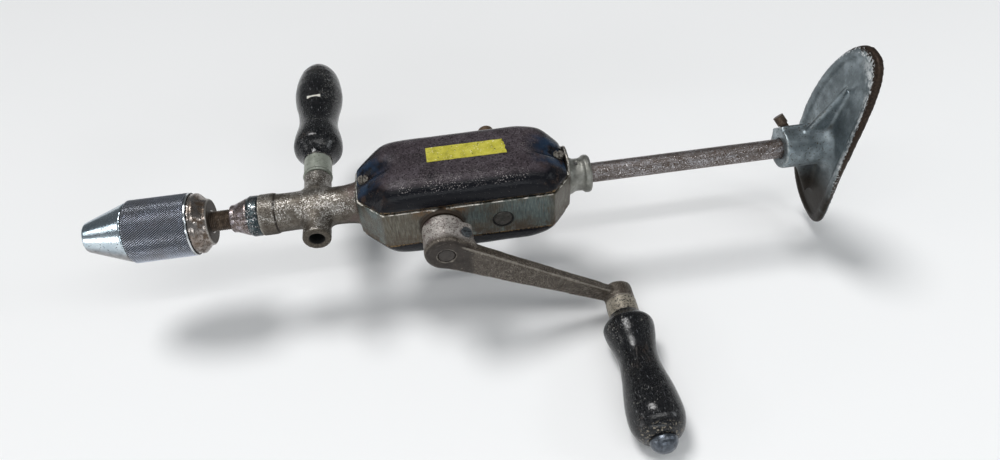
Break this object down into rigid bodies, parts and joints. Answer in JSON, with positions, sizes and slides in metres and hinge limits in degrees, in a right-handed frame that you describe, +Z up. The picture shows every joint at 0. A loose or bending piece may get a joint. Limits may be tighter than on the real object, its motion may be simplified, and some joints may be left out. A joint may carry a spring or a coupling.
{
  "type": "breast drill",
  "caption": "Hand-cranked breast drill: geared crank, keyless chuck with sliding jaws, side handle and a curved breast plate on a tube.",
  "frame": {"origin": "middle of the chuck's mouth, on the spindle axis", "axes": "+X along the spindle from the chuck to the breast plate, -Y towards the crank, +Z up, square to both"},
  "size_m": [0.4861, 0.311, 0.1541],
  "materials": {
    "cast": "weathered casting",
    "black_paint": "gloss",
    "steel": "satin",
    "bright_steel": "polished",
    "bronze": "satin",
    "dark_steel": "satin",
    "plain_steel": "satin",
    "gear_iron": "oiled",
    "ferrule_steel": "dull",
    "ferrule_brass": "tarnished",
    "black_wood": "gloss black paint",
    "tube_steel": "pitted",
    "crank_iron": "satin",
    "rusty_steel": "rusty",
    "rusty_chrome": "rusty plating",
    "chuck_steel": "bright plating",
    "knurled_steel": "knurled",
    "plate_aluminium": "worn casting"
  },
  "bodies": {
    "frame": {"frame_casting": "cast", "top_cover": "black_paint", "bottom_cover": "black_paint", "cover_screws": "steel", "front_bush": "bronze", "rear_bush": "bronze", "bearing_ring": "dark_steel", "crank_bush_near": "bronze", "crank_bush_far": "bronze", "side_handle_stud": "plain_steel", "side_handle_ferrule": "ferrule_steel", "side_handle_grip": "black_wood", "breast_tube": "tube_steel", "tube_pin": "plain_steel"},
    "crank": {"crank_shaft": "plain_steel", "main_gear": "gear_iron", "gear_pin": "plain_steel", "crank_collar": "plain_steel", "crank_washer": "plain_steel", "crank_arm": "crank_iron", "crank_set_screw": "steel", "grip_pin": "plain_steel", "grip_end_cap": "steel"},
    "crank_grip": {"crank_grip": "black_wood", "crank_grip_ferrule": "ferrule_brass"},
    "low_speed_shaft": {"low_speed_shaft": "plain_steel", "low_speed_pinion": "gear_iron", "low_pinion_pin": "plain_steel", "low_shaft_collar": "plain_steel"},
    "spindle": {"spindle": "rusty_steel", "bearing_cone": "rusty_chrome", "spindle_pinion": "gear_iron", "pinion_pin": "plain_steel", "thrust_washer": "plain_steel", "chuck_body": "chuck_steel"},
    "bearing_balls": {"bearing_balls": "bright_steel"},
    "chuck_sleeve": {"chuck_sleeve": "knurled_steel", "chuck_nut": "plain_steel"},
    "chuck_jaw_1": {"chuck_jaw_1": "bright_steel"},
    "chuck_jaw_2": {"chuck_jaw_2": "bright_steel"},
    "chuck_jaw_3": {"chuck_jaw_3": "bright_steel"},
    "breast_plate": {"breast_plate": "plate_aluminium", "plate_set_screw": "rusty_steel"}
  },
  "joints": [
    {"name": "crank_turn", "type": "hinge", "parent": "frame", "child": "crank", "pos_m": [0.2174, 0, 0], "axis": [0, 1, 0], "continuous": true},
    {"name": "crank_grip_spin", "type": "hinge", "parent": "crank", "child": "crank_grip", "pos_m": [0.32649, -0.11, -0.06503], "axis": [0, 1, 0], "continuous": true},
    {"name": "low_shaft_turn", "type": "hinge", "parent": "frame", "child": "low_speed_shaft", "pos_m": [0.25503, 0, -0.0023], "axis": [0, 1, 0], "continuous": true},
    {"name": "spindle_turn", "type": "hinge", "parent": "frame", "child": "spindle", "pos_m": [0, 0, 0], "axis": [1, 0, 0], "continuous": true},
    {"name": "bearing_balls_roll", "type": "hinge", "parent": "frame", "child": "bearing_balls", "pos_m": [0.099, 0, 0], "axis": [1, 0, 0], "continuous": true},
    {"name": "chuck_sleeve_turn", "type": "hinge", "parent": "spindle", "child": "chuck_sleeve", "pos_m": [0.046, 0, 0], "axis": [1, 0, 0], "range_deg": [-2193, 3809]},
    {"name": "chuck_jaw_1_slide", "type": "slide", "parent": "spindle", "child": "chuck_jaw_1", "axis": [0.9781, 0, 0.2079], "range_m": [-0.00916, 0.01589]},
    {"name": "chuck_jaw_2_slide", "type": "slide", "parent": "spindle", "child": "chuck_jaw_2", "axis": [0.9781, -0.1801, -0.104], "range_m": [-0.00916, 0.01589]},
    {"name": "chuck_jaw_3_slide", "type": "slide", "parent": "spindle", "child": "chuck_jaw_3", "axis": [0.9781, 0.1801, -0.104], "range_m": [-0.00916, 0.01589]},
    {"name": "breast_plate_turn", "type": "hinge", "parent": "frame", "child": "breast_plate", "pos_m": [0.455, 0, 0], "axis": [1, 0, 0], "continuous": true}
  ],
  "couplings": [
    {"joint": "low_shaft_turn", "follows": "crank_turn", "ratio": -2.25},
    {"joint": "spindle_turn", "follows": "crank_turn", "ratio": -2.8333},
    {"joint": "bearing_balls_roll", "follows": "crank_turn", "ratio": -1.4167},
    {"joint": "chuck_jaw_1_slide", "follows": "chuck_sleeve_turn", "m_per_rad": 0.00023873},
    {"joint": "chuck_jaw_2_slide", "follows": "chuck_sleeve_turn", "m_per_rad": 0.00023873},
    {"joint": "chuck_jaw_3_slide", "follows": "chuck_sleeve_turn", "m_per_rad": 0.00023873}
  ]
}
